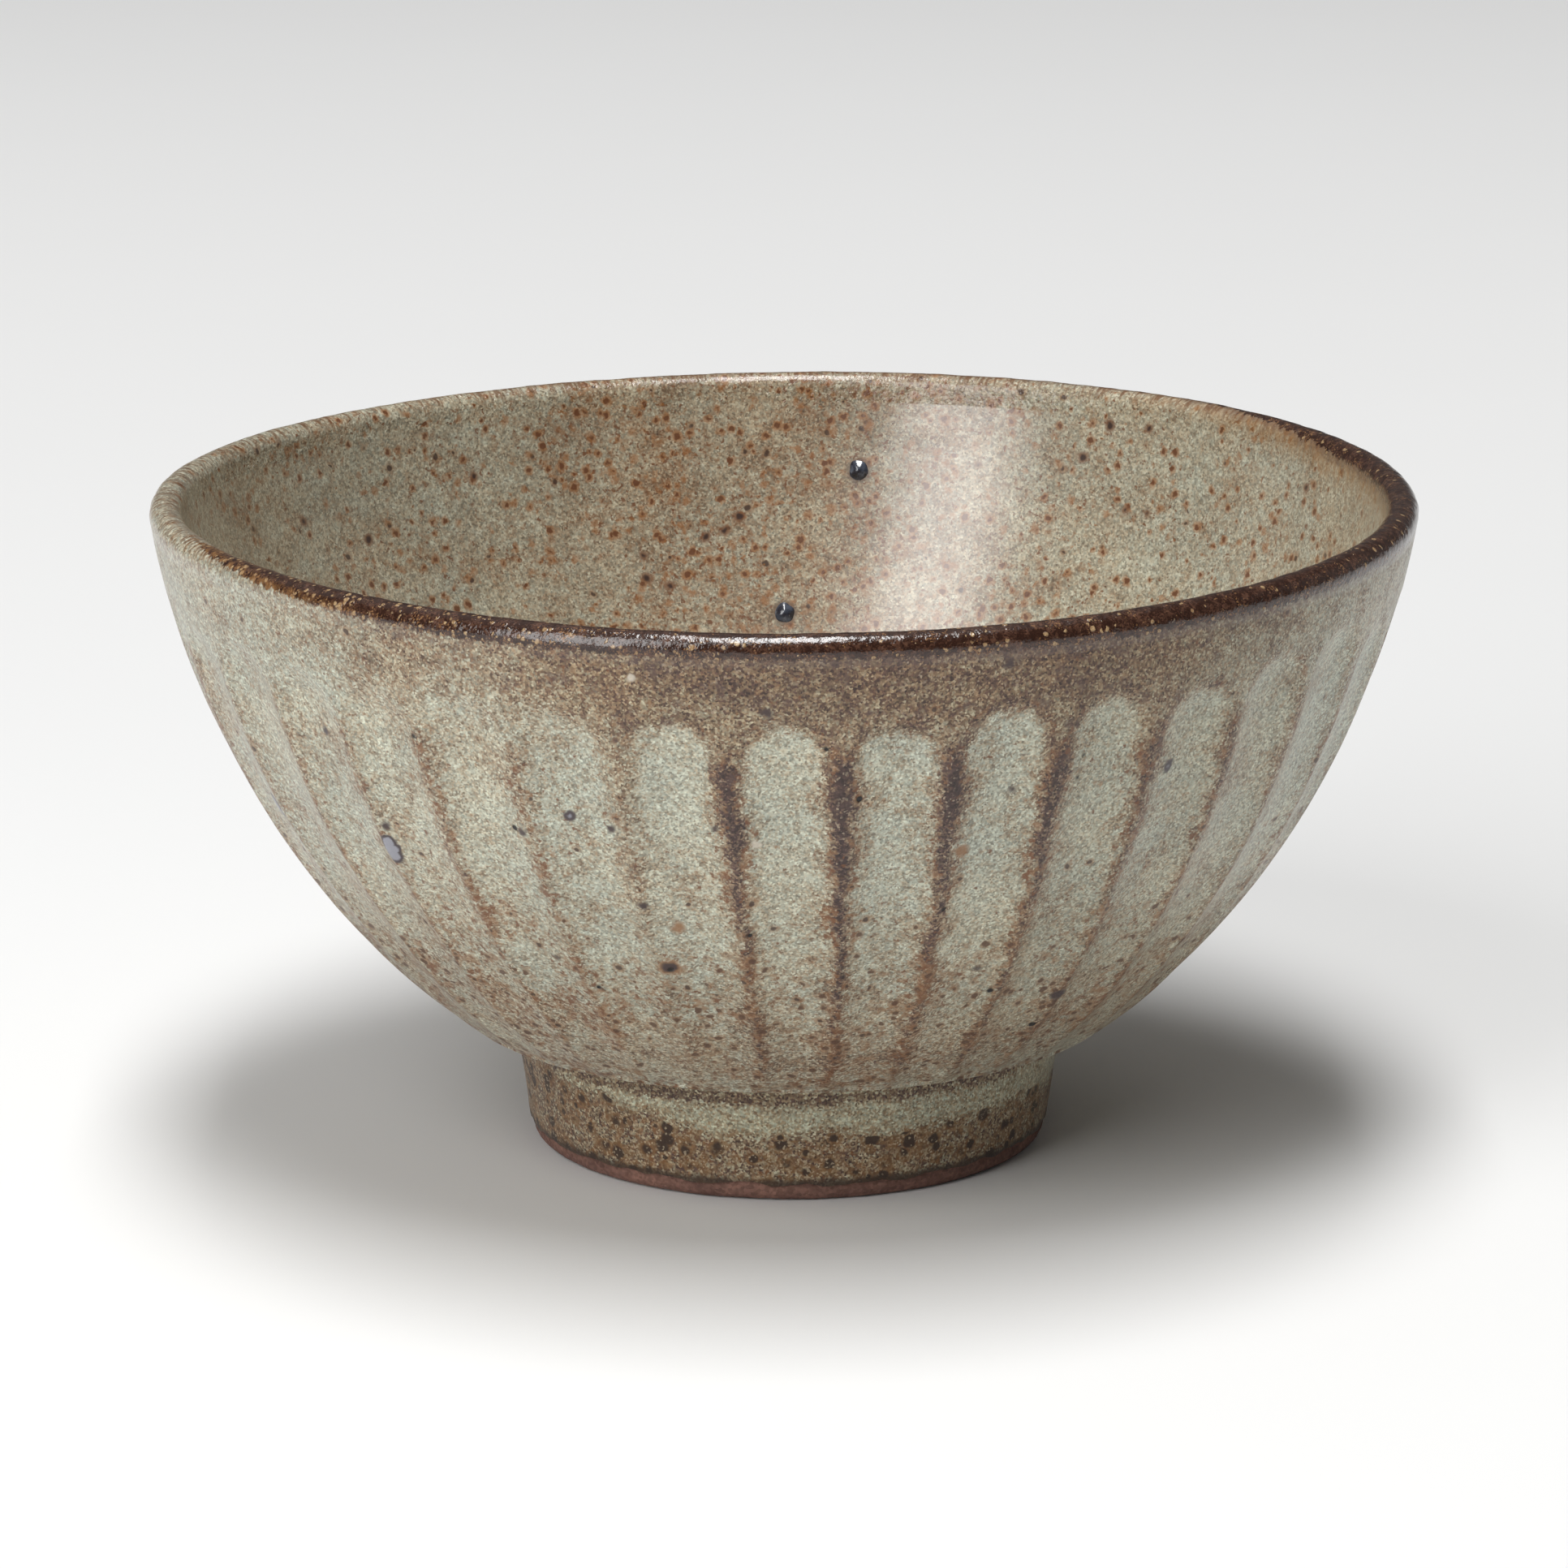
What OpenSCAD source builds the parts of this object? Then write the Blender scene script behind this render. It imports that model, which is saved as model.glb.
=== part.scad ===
// A wheel-thrown stoneware matcha bowl with carved flutes, a foot ring and its glaze coats.
// Millimetres. The origin is the centre of the foot's contact plane, and +Z is the bowl's axis.
// Every curve of the section is an arc. The bare clay is the finished surface moved in by the
// thickness of the glaze, so each coat lies face to face on the clay under it.

/* [Bowl] */
// Outer diameter at the lip
rim_d = 120; // [116:1:124]
// Height from the foot's contact plane to the top of the lip
height = 63; // [61:1:66]
// Thickness of the rounded lip
lip_t = 3; // [2.6:0.2:3.6]
// Lean of the wall just under the lip, in degrees from level
lean_lip = 81; // [80:1:82]
// Lean of the wall where its rounder lower curve starts
lean_mid = 46; // [45:1:47]
// Lean of the wall where it ends at the hip
lean_hip = 36; // [35:1:37]

/* [Inside] */
// Height of the floor above the contact plane
floor_z = 12; // [11:0.5:14]
// Diameter of the level tea pool in the middle of the floor
pool_d = 20; // [14:1:24]

/* [Foot] */
// Diameter of the trimmed edge at the hip
hip_d = 63; // [62:1:64]
// Height of the trimmed edge at the hip
hip_z = 12.7; // [12:0.1:13.4]
// Outer diameter of the foot at the hip
foot_top_d = 53; // [51:1:54]
// Outer diameter of the foot at its contact plane
foot_bottom_d = 49.6; // [47:0.2:51]
// Radius of the cove between hip and foot
cove_r = 2.2; // [1.5:0.1:2.6]
// Rounding of the foot's outer bottom edge
foot_edge_r = 1.2; // [0.8:0.1:1.6]
// Diameter of the hollow inside the foot, at the contact plane
well_d = 40; // [36:1:41]
// Diameter of that hollow at its ceiling
well_top_d = 37; // [34:1:38]
// Depth of the hollow
well_z = 6; // [5:0.5:7]
// Rounding of the foot's inner bottom edge
well_edge_r = 0.8; // [0.5:0.1:1]

/* [Flutes] */
// Number of carved flutes
flute_count = 36; // [24:4:40]
// Radius of the gouge that carves them
gouge_r = 13; // [11:1:16]
// Depth of a flute along most of its length
flute_depth = 0.75; // [0.5:0.05:0.8]
// Depth of a flute where it runs out over the hip
flute_end_depth = 0.25; // [0.15:0.05:0.4]
// Height of the centre of a flute's round top end
flute_top_z = 51; // [46:1:52]

/* [Glaze] */
// Thickness of the glaze coats
glaze_t = 0.4; // [0.3:0.05:0.5]
// Height of the iron-brown band on the lip
rim_band_h = 2.8; // [2:0.2:4]
// Height of the bare clay at the bottom of the foot
bare_foot_h = 1.8; // [1.6:0.1:2.4]

/* [Hidden] */
$fn = 120;

rim_r = rim_d / 2;
hip_r = hip_d / 2;
lip_r = lip_t / 2;
lip_c = [rim_r - lip_r, height - lip_r];
band_z = height - rim_band_h;
// The foot is luted to the body's flat underside at this height
joint_z = well_z + glaze_t;
// The foot's coat thins out towards the wiped line
foot_glaze_edge_t = 0.15;
// The wall's coat wraps round the hip edge and meets the foot's coat here
coat_split_r = hip_r - 1.5;
// Steps along the wall's upper and lower arcs, and round each small edge
upper_steps = 9;
lower_steps = 4;
edge_steps = 6;

// The point of a circle at c of radius r where its tangent leans by this angle
function on_arc(c, r, lean) = c + r * [sin(lean), -cos(lean)];

// Points along an arc, from one lean to another
function arc(c, r, from, to, steps) =
    [for (i = [0 : steps]) on_arc(c, r, from + (to - from) * i / steps)];

// The lean of an arc at a height on its lower right side
function lean_at(c, r, z) = acos((c[1] - z) / r);

// The same points in the other order
function back(line) = [for (i = [len(line) - 1 : -1 : 0]) line[i]];

// Radii of two tangent arcs that run from a, with lean l0, through lean l1, to b, with lean l2
function arc_pair(a, b, l0, l1, l2) =
    let (p = [sin(l1) - sin(l0), cos(l0) - cos(l1)],
         q = [sin(l2) - sin(l1), cos(l1) - cos(l2)],
         d = b - a,
         det = cross(p, q))
    [cross(d, q) / det, cross(p, d) / det];

// Centre of the circle through three points
function circle_centre(a, b, c) =
    let (u = b - a,
         v = c - a,
         k = 2 * cross(u, v))
    a + [v[1] * (u * u) - u[1] * (v * v), u[0] * (v * v) - v[0] * (u * u)] / k;

// Centre of a circle of radius r that touches both edges of the corner at p, along u and v
function corner_centre(p, u, v, r) = p + r / abs(cross(u, v)) * (u + v);

// Outer wall: a flat upper arc that rolls into the lip, then a rounder lower arc to the hip
wall_top = on_arc(lip_c, lip_r, lean_lip);
wall_radii = arc_pair(wall_top, [hip_r, hip_z], lean_lip, lean_mid, lean_hip);
upper_c = wall_top - on_arc([0, 0], wall_radii[0], lean_lip);
lower_c = on_arc(upper_c, wall_radii[0] - wall_radii[1], lean_mid);

// Inside: the same two arcs, ending level at the tea pool
hollow_top = lip_c - on_arc([0, 0], lip_r, lean_lip);
hollow_radii = arc_pair(hollow_top, [pool_d / 2, floor_z], lean_lip, lean_mid, 0);
hollow_upper_c = hollow_top - on_arc([0, 0], hollow_radii[0], lean_lip);
hollow_lower_c = [pool_d / 2, floor_z + hollow_radii[1]];

// Lines of the section, each moved into the clay by inset: 0 is the finished surface, glaze_t bare clay.
// The wall, from the hip up to a lean under the lip
function wall_line(inset, to) =
    let (r = wall_radii[1] - inset)
    concat(arc(lower_c, r, lean_at(lower_c, r, hip_z + inset), lean_mid, lower_steps),
           arc(upper_c, wall_radii[0] - inset, lean_mid + 3, to, upper_steps));
// The inside, from a lean under the lip down to the axis
function hollow_line(inset, from) =
    concat(arc(hollow_upper_c, hollow_radii[0] + inset, from, lean_mid, upper_steps),
           arc(hollow_lower_c, hollow_radii[1] + inset, lean_mid - 3, 0, 3 * lower_steps),
           [[0, floor_z - inset]]);
// Over the lip, from outside to inside
function lip_line(inset) = arc(lip_c, lip_r - inset, lean_lip, lean_lip + 180, 2 * edge_steps);
// The leans at which the brown band ends, outside and inside
function band_lean(inset) = lean_at(upper_c, wall_radii[0] - inset, band_z);
function hollow_band_lean(inset) = lean_at(hollow_upper_c, hollow_radii[0] + inset, band_z);

// The foot's outer wall, as its bottom point, its top point and its lean from upright
function foot_bottom(inset) = [foot_bottom_d / 2 - min(inset, foot_glaze_edge_t), 0];
function foot_top(inset) = [foot_top_d / 2 - inset, hip_z + inset];
function foot_lean(inset) =
    let (d = foot_top(inset) - foot_bottom(inset))
    atan(d[0] / d[1]);
function foot_along(inset) = [sin(foot_lean(inset)), cos(foot_lean(inset))];
function foot_at(inset, z) = foot_bottom(inset) + z / foot_along(inset)[1] * foot_along(inset);
// The cove, from the underside of the hip to the foot's wall
function cove_line(inset) =
    arc(corner_centre(foot_top(inset), [1, 0], -foot_along(inset), cove_r + inset),
        cove_r + inset, 180, 270 - foot_lean(inset), edge_steps);
// The foot's rounded bottom, from its outer wall to the wall of the hollow under it
well_lean = atan((well_d - well_top_d) / 2 / well_z);
well_along = [-sin(well_lean), cos(well_lean)];
function well_at(z) = [well_d / 2, 0] + z / well_along[1] * well_along;
function foot_bottom_line() =
    concat(arc(corner_centre(foot_bottom(glaze_t), [-1, 0], foot_along(glaze_t), foot_edge_r),
               foot_edge_r, 90 - foot_lean(glaze_t), 0, edge_steps),
           arc(corner_centre([well_d / 2, 0], [1, 0], well_along, well_edge_r),
               well_edge_r, 0, well_lean - 90, edge_steps));

// Bottom line of a flute: an arc at full depth near its top and halfway down, shallow at the hip
function flute_point(lean, depth) =
    lean > lean_mid ? on_arc(upper_c, wall_radii[0] - depth, lean)
                    : on_arc(lower_c, wall_radii[1] - depth, lean);
flute_top_lean = lean_at(upper_c, wall_radii[0], flute_top_z);
flute_top = flute_point(flute_top_lean, flute_depth);
flute_middle = flute_point((flute_top_lean + lean_mid) / 2, flute_depth);
flute_end = flute_point(lean_hip, flute_end_depth);
flute_c = circle_centre(flute_top, flute_middle, flute_end);
flute_r = norm(flute_top - flute_c);
function flute_angle(p) = atan2(p[1] - flute_c[1], p[0] - flute_c[0]);
flute_from = flute_angle(flute_end) - 2;
flute_to = flute_angle(flute_top);
// The part of the gouge's round edge that does the cutting
gouge_tip_w = 10;
gouge_tip_h = 1.3;

// Beads of iron that melted out of the inside wall: the direction and the height of each
iron_melts = [[82, 53.4], [90, 39.6]];
iron_melt_r = 1;
iron_melt_h = 0.5;

module flute_cut(grow) {
    translate([flute_c[0], 0, flute_c[1]]) rotate([90, 0, 0]) rotate(flute_from)
        rotate_extrude(angle = flute_to - flute_from)
            translate([flute_r, 0]) rotate(-90)
                intersection() {
                    translate([0, gouge_r]) circle(gouge_r + grow);
                    translate([-gouge_tip_w / 2, -1]) square([gouge_tip_w, gouge_tip_h + 1]);
                }
}

// Every second flute, because the cuts of two neighbours cross
module flute_cuts(first, grow) {
    for (i = [first : 2 : flute_count - 1])
        rotate(i * 360 / flute_count - 90) flute_cut(grow);
}

module fluted(grow) {
    difference() {
        difference() {
            children();
            flute_cuts(0, grow);
        }
        flute_cuts(1, grow);
    }
}

module clay_body() {
    color("#7a5446")
    fluted(glaze_t)
    rotate_extrude()
        polygon(concat([[0, joint_z], foot_at(glaze_t, joint_z)], back(cove_line(glaze_t)),
                       wall_line(glaze_t, lean_lip - 1), lip_line(glaze_t),
                       hollow_line(glaze_t, lean_lip - 1)));
}

module foot_ring() {
    color("#6b3f33")
    rotate_extrude()
        polygon(concat([foot_at(glaze_t, joint_z)], foot_bottom_line(), [well_at(joint_z)]));
}

// The wall's surface down to a depth that all the flutes stay above
module wall_shell(inset, depth) {
    rotate_extrude()
        polygon(concat([[coat_split_r, hip_z + inset]], wall_line(inset, band_lean(inset)),
                       back(wall_line(depth, band_lean(depth))), [[coat_split_r, hip_z + depth]]));
}

module wall_glaze() {
    color("#a5a592")
    difference() {
        fluted(0) wall_shell(0, 1.6);
        fluted(glaze_t) wall_shell(glaze_t, 2.6);
    }
}

module inner_glaze() {
    color("#aaa68f")
    rotate_extrude()
        polygon(concat(hollow_line(0, hollow_band_lean(0)),
                       back(hollow_line(glaze_t, hollow_band_lean(glaze_t)))));
}

module rim_iron_band() {
    color("#4a2c1f")
    rotate_extrude()
        polygon(concat([on_arc(upper_c, wall_radii[0], band_lean(0))], lip_line(0),
                       [on_arc(hollow_upper_c, hollow_radii[0], hollow_band_lean(0)),
                        on_arc(hollow_upper_c, hollow_radii[0] + glaze_t, hollow_band_lean(glaze_t))],
                       back(lip_line(glaze_t)),
                       [on_arc(upper_c, wall_radii[0] - glaze_t, band_lean(glaze_t))]));
}

module foot_glaze() {
    color("#8d8470")
    rotate_extrude()
        polygon(concat([[coat_split_r, hip_z]], cove_line(0),
                       [foot_at(0, bare_foot_h), foot_at(glaze_t, bare_foot_h)],
                       back(cove_line(glaze_t)), [[coat_split_r, hip_z + glaze_t]]));
}

module foot_well_glaze() {
    color("#9c9a86")
    rotate_extrude()
        polygon([[0, well_z], well_at(well_z), well_at(joint_z), [0, joint_z]]);
}

module iron_bead() {
    dome_r = (iron_melt_r * iron_melt_r + iron_melt_h * iron_melt_h) / 2 / iron_melt_h;
    edge_lean = 180 - asin(iron_melt_r / dome_r);
    rotate_extrude()
        polygon(concat([[0, 0]],
                       arc([0, iron_melt_h - dome_r], dome_r, edge_lean, 180, 2 * edge_steps)));
}

module iron_spots() {
    color("#2a2f38")
    for (melt = iron_melts) {
        lean = lean_at(hollow_upper_c, hollow_radii[0], melt[1]);
        place = on_arc(hollow_upper_c, hollow_radii[0], lean);
        rotate(melt[0]) translate([place[0], 0, place[1]]) rotate([0, -lean, 0]) iron_bead();
    }
}

clay_body();
foot_ring();
wall_glaze();
inner_glaze();
rim_iron_band();
foot_glaze();
foot_well_glaze();
iron_spots();
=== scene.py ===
import math
import random

import bpy
import numpy as np
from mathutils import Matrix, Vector, noise


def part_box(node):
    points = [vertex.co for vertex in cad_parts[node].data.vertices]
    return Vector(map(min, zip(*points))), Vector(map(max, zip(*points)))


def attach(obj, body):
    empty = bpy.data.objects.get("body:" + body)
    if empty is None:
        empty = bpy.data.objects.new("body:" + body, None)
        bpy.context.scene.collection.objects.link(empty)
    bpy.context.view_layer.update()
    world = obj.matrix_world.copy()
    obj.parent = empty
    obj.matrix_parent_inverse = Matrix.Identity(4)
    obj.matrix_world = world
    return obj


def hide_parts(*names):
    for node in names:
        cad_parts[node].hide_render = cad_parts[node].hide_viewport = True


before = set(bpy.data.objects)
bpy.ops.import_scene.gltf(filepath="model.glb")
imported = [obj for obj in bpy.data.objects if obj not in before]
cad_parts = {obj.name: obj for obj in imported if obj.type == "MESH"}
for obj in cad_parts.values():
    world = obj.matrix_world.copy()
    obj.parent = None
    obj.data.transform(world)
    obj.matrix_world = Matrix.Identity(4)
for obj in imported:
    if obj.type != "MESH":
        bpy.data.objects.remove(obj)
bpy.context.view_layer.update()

# The shape is worked out in millimetres and scaled to metres when a mesh is made.
# Azimuths are in degrees: 0 faces the camera (-Y) and they grow towards +X.
MM = 0.001
BODY = "root"

# The section, as in the CAD source
RIM_R = 60.0
LIP_R = 1.5
LEAN_LIP, LEAN_MID, LEAN_HIP = 81.0, 46.0, 36.0
GLAZE_T = 0.4
FOOT_GLAZE_EDGE_T = 0.15
POOL_R = 10.0
HIP_OUT = 1.5
FOOT_TOP_R, FOOT_BOTTOM_R = 26.5, 24.8
COVE_R, FOOT_EDGE_R, WELL_EDGE_R = 2.2, 1.2, 0.8
WELL_R, WELL_TOP_R = 20.0, 18.5
HIP_ROUND_R = 0.9

# Distances between the rows of the meshes. Above TOPS_Z, where the flutes end, they lie closer.
TOPS_Z = 47.5
TOPS_STEP, WALL_STEP, LOW_WALL_STEP, HIP_STEP = 0.42, 0.85, 0.6, 0.09
LIP_STEP, LIP_SIDE_STEP = 0.16, 0.3
INSIDE_STEP, FLOOR_STEP = 0.9, 1.0
COVE_STEP, FOOT_STEP, FOOT_EDGE_STEP = 0.3, 0.45, 0.12
FOOT_SIDE_STEP, CONTACT_STEP, HOLLOW_STEP = 0.35, 0.4, 0.5


def level(node, top):
    """The height of a CAD node's lowest or highest point."""
    return round(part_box(node)[1 if top else 0].z / MM, 1)


TOP_Z = level("rim_iron_band", True)
BAND_Z = level("rim_iron_band", False)
HIP_Z = level("wall_glaze", False)
BARE_Z = level("foot_glaze", False)
WELL_Z = level("foot_well_glaze", False)
JOINT_Z = level("foot_well_glaze", True)
FLOOR_Z = level("inner_glaze", False) + GLAZE_T
SPLIT_R = round(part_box("foot_glaze")[1].x / MM, 1)
HIP_R = SPLIT_R + HIP_OUT

# The carving
FLUTES = 36
PITCH = 360 / FLUTES
GOUGE_R = 13.0
FLUTE_DEPTH, FLUTE_END_DEPTH = 0.75, 0.25
FLUTE_TOP_Z = 50.8
COLUMNS_PER_FLUTE = 20
RIDGE_SOFTNESS = 0.06
FLUTE_SLANT = 1.3
# The flutes' round tops are flatter than a circle by this much
TOP_FLATNESS = 1.05
# Strength of the brown outline of the flutes' tops, beside that of the ridges
ARCH_SHARE = 0.6
# Where the flutes crowd together: by how many degrees, round which azimuth and how far to its sides
CROWD_SHIFT, CROWD_AZ, CROWD_WIDTH = 2.0, -63, 24
# How far above FLUTE_TOP_Z the flutes in front end, by their number from the front
FRONT_TOPS = {-3: 0.9, -2: 0.8, -1: 0.3, 0: 0.3, 1: -0.2, 2: 1.1, 3: 1.2, 4: 0.0, 5: 1.3, 6: 1.8}
# Strength of the brown line on the ridges that the photo shows, by azimuth
FRONT_RIDGES = {
    -62: 0.2, -53: 0.3, -44: 0.3, -34: 0.45, -25: 0.3, -15: 0.14, -5: 1.0,
    5: 1.15, 15: 1.05, 25: 0.9, 35: 0.6, 45: 0.5, 55: 0.4, 65: 0.3, 75: 0.2,
}

# The hand-made unevenness
FOOT_DRIFT = 0.45
# Waves of the lip's height round the bowl: how many, how high and the azimuth of a crest
RIM_WAVES = [(1, 0.2, 115.8), (2, 0.3, -70.6), (3, 0.1, 48.3)]


def smooth(x, lo, hi):
    t = np.clip((np.asarray(x, float) - lo) / (hi - lo), 0, 1)
    return t * t * (3 - 2 * t)


def wrap(a):
    return (np.asarray(a, float) + 180) % 360 - 180


def bell(x, width):
    return np.exp(-(np.asarray(x, float) / width) ** 2)


# ---- the section

def on_arc(c, r, lean):
    a = math.radians(lean)
    return np.array(c, float) + r * np.array([math.sin(a), -math.cos(a)])


def arc_pair(a, b, l0, l1, l2):
    """Radii of two tangent arcs from a to b that lean l0, l1 and l2 at their ends."""
    s = [math.sin(math.radians(x)) for x in (l0, l1, l2)]
    c = [math.cos(math.radians(x)) for x in (l0, l1, l2)]
    m = np.array([[s[1] - s[0], s[2] - s[1]], [c[0] - c[1], c[1] - c[2]]])
    return np.linalg.solve(m, np.array(b) - np.array(a))


def lean_at(c, r, z):
    return math.degrees(math.acos((c[1] - z) / r))


LIP_C = np.array([RIM_R - LIP_R, TOP_Z - LIP_R])
ZERO = np.zeros(2)
WALL_TOP = on_arc(LIP_C, LIP_R, LEAN_LIP)
UP_R, LOW_R = arc_pair(WALL_TOP, (HIP_R, HIP_Z), LEAN_LIP, LEAN_MID, LEAN_HIP)
UP_C = WALL_TOP - on_arc(ZERO, UP_R, LEAN_LIP)
LOW_C = on_arc(UP_C, UP_R - LOW_R, LEAN_MID)
HOLLOW_TOP = LIP_C - on_arc(ZERO, LIP_R, LEAN_LIP)
IN_R, IN_LOW_R = arc_pair(HOLLOW_TOP, (POOL_R, FLOOR_Z), LEAN_LIP, LEAN_MID, 0)
IN_C = HOLLOW_TOP - on_arc(ZERO, IN_R, LEAN_LIP)
IN_LOW_C = np.array([POOL_R, FLOOR_Z + IN_LOW_R])


# How the wall leans where the iron band ends, outside and inside
BAND_LEAN, BAND_LEAN_IN = lean_at(UP_C, UP_R, BAND_Z), lean_at(IN_C, IN_R, BAND_Z)


def arc_rows(c, r, start, end, step, side=1):
    """Rows (radius, height, normal) along an arc. side is -1 where the solid is outside the arc."""
    count = max(3, int(abs(math.radians(end - start)) * r / step) + 2)
    lean = np.radians(np.linspace(start, end, count))
    out = np.stack([np.sin(lean), -np.cos(lean)], 1)
    return np.hstack([np.array(c) + r * out, side * out])


def line_rows(a, b, step):
    """Rows along a straight line. The solid is on the left of the way from a to b."""
    a, b = np.array(a, float), np.array(b, float)
    d = b - a
    length = np.linalg.norm(d)
    t = np.linspace(0, 1, max(2, int(length / step) + 2))[:, None]
    out = np.array([d[1], -d[0]]) / length
    return np.hstack([a + t * d, np.repeat(out[None], len(t), 0)])


def turned_over(rows):
    """The same rows with the solid on their other side."""
    return rows * np.array([1, 1, -1, -1])


def joined(*parts):
    """Rows one after another, with the doubled row at each joint left out."""
    return np.vstack([parts[0]] + [p[1:] for p in parts[1:]])


def wall_rows():
    """Down the outside of the wall, over the rounded hip and in along its underside."""
    low_round = HIP_Z + HIP_ROUND_R
    inner_r = LOW_R - HIP_ROUND_R
    hip_lean = lean_at(LOW_C, inner_r, low_round)
    hip_c = on_arc(LOW_C, inner_r, hip_lean)
    tops_end = lean_at(UP_C, UP_R, TOPS_Z)
    return joined(
        arc_rows(UP_C, UP_R, BAND_LEAN, tops_end, TOPS_STEP),
        arc_rows(UP_C, UP_R, tops_end, LEAN_MID, WALL_STEP),
        arc_rows(LOW_C, LOW_R, LEAN_MID, hip_lean, LOW_WALL_STEP),
        arc_rows(hip_c, HIP_ROUND_R, hip_lean, 0, HIP_STEP),
        np.array([[hip_c[0], HIP_Z, 0, -1], [SPLIT_R, HIP_Z, 0, -1]]),
    )


def lip_rows():
    """From the outside of the wall over the lip to the inside."""
    return joined(
        arc_rows(UP_C, UP_R, BAND_LEAN, LEAN_LIP, LIP_SIDE_STEP),
        arc_rows(LIP_C, LIP_R, LEAN_LIP, LEAN_LIP + 180, LIP_STEP),
        arc_rows(IN_C, IN_R, LEAN_LIP, BAND_LEAN_IN, LIP_SIDE_STEP, -1),
    )


def inside_rows():
    """Down the inside of the wall and level over the tea pool to the axis."""
    floor = line_rows((POOL_R, FLOOR_Z), (0, FLOOR_Z), FLOOR_STEP)
    return joined(
        arc_rows(IN_C, IN_R, BAND_LEAN_IN, LEAN_MID, INSIDE_STEP, -1),
        arc_rows(IN_LOW_C, IN_LOW_R, LEAN_MID, 0, FLOOR_STEP, -1),
        turned_over(floor),
    )


def foot_wall(inset):
    """The bottom and the top point of the foot's outer wall, and its direction."""
    bottom = np.array([FOOT_BOTTOM_R - min(inset, FOOT_GLAZE_EDGE_T), 0])
    top = np.array([FOOT_TOP_R - inset, HIP_Z + inset])
    along = (top - bottom) / np.linalg.norm(top - bottom)
    return bottom, top, along


def corner_centre(p, u, v, r):
    u, v = np.array(u, float), np.array(v, float)
    return p + r / abs(u[0] * v[1] - u[1] * v[0]) * (u + v)


def foot_skin_rows():
    """In along the hip's underside, round the cove and down the foot to the wiped line."""
    bottom, top, along = foot_wall(0)
    lean = math.degrees(math.atan2(along[0], along[1]))
    c = corner_centre(top, (1, 0), -along, COVE_R)
    cove = arc_rows(c, COVE_R, 180, 270 - lean, COVE_STEP, -1)
    low = bottom + along * BARE_Z / along[1]
    return joined(
        np.array([[SPLIT_R, HIP_Z, 0, -1], [cove[0, 0], HIP_Z, 0, -1]]),
        cove,
        turned_over(line_rows(cove[-1, :2], low, FOOT_STEP)),
    )


# ---- the carving by hand

def flute_shift(az):
    """The flutes crowd a little on the left of the bowl."""
    return CROWD_SHIFT * bell(wrap(az - CROWD_AZ), CROWD_WIDTH)


def slant(z):
    """Every flute leans a little as it goes down."""
    return FLUTE_SLANT * (1 - smooth(z, 10, 56))


def flute_draws():
    """Each flute's centre, depth, top and phase of its waver, as the hand left them."""
    rng = random.Random(36)
    draws = []
    for k in range(FLUTES):
        signed = k if k <= FLUTES // 2 else k - FLUTES
        az = signed * PITCH
        centre = az + flute_shift(az) + rng.uniform(-0.15, 0.15)
        depth = rng.uniform(0.93, 1.07)
        top = FLUTE_TOP_Z + FRONT_TOPS.get(signed, rng.uniform(-0.8, 0.8))
        draws.append((centre, depth, top, rng.uniform(0, 2 * math.pi)))
    return draws


FLUTE_DRAWS = flute_draws()
RIDGE_AZ = [
    FLUTE_DRAWS[k][0] + wrap(FLUTE_DRAWS[(k + 1) % FLUTES][0] - FLUTE_DRAWS[k][0]) / 2
    for k in range(FLUTES)
]


def base_columns():
    """Azimuths of the mesh's columns: closest together along the ridges."""
    u = np.arange(FLUTES * COLUMNS_PER_FLUTE) / COLUMNS_PER_FLUTE * PITCH
    crowd = 0.5 * PITCH / (2 * math.pi) * np.sin(2 * math.pi * u / PITCH)
    az = u + crowd
    return az + flute_shift(az)


BASE = base_columns()


def flute_depth(z):
    return FLUTE_END_DEPTH + (FLUTE_DEPTH - FLUTE_END_DEPTH) * smooth(z, 9, 34)


def carve(az, z, r):
    """Depth of the carving, a soft maximum of the cuts, and how far in a flute each point is."""
    total = np.ones_like(az)
    for centre, deep, top, phase in FLUTE_DRAWS:
        x = r * np.radians(wrap(az - centre - slant(z)))
        near = np.abs(x) < GOUGE_R * 0.8
        along = np.clip(z - top, 0, None) * TOP_FLATNESS
        hand = 1 + 0.05 * np.sin(z * 0.33 + phase)
        reach = np.clip(GOUGE_R ** 2 - x ** 2 - along ** 2, 1, None)
        cut = flute_depth(z) * deep * hand - (GOUGE_R - np.sqrt(reach))
        total += np.where(near, np.exp(np.clip(cut, -2, None) / RIDGE_SOFTNESS), 0)
    depth = RIDGE_SOFTNESS * np.log(total)
    return depth, smooth(depth, 0.0, 0.6) * smooth(flute_depth(z), 0.1, 0.5)


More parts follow.
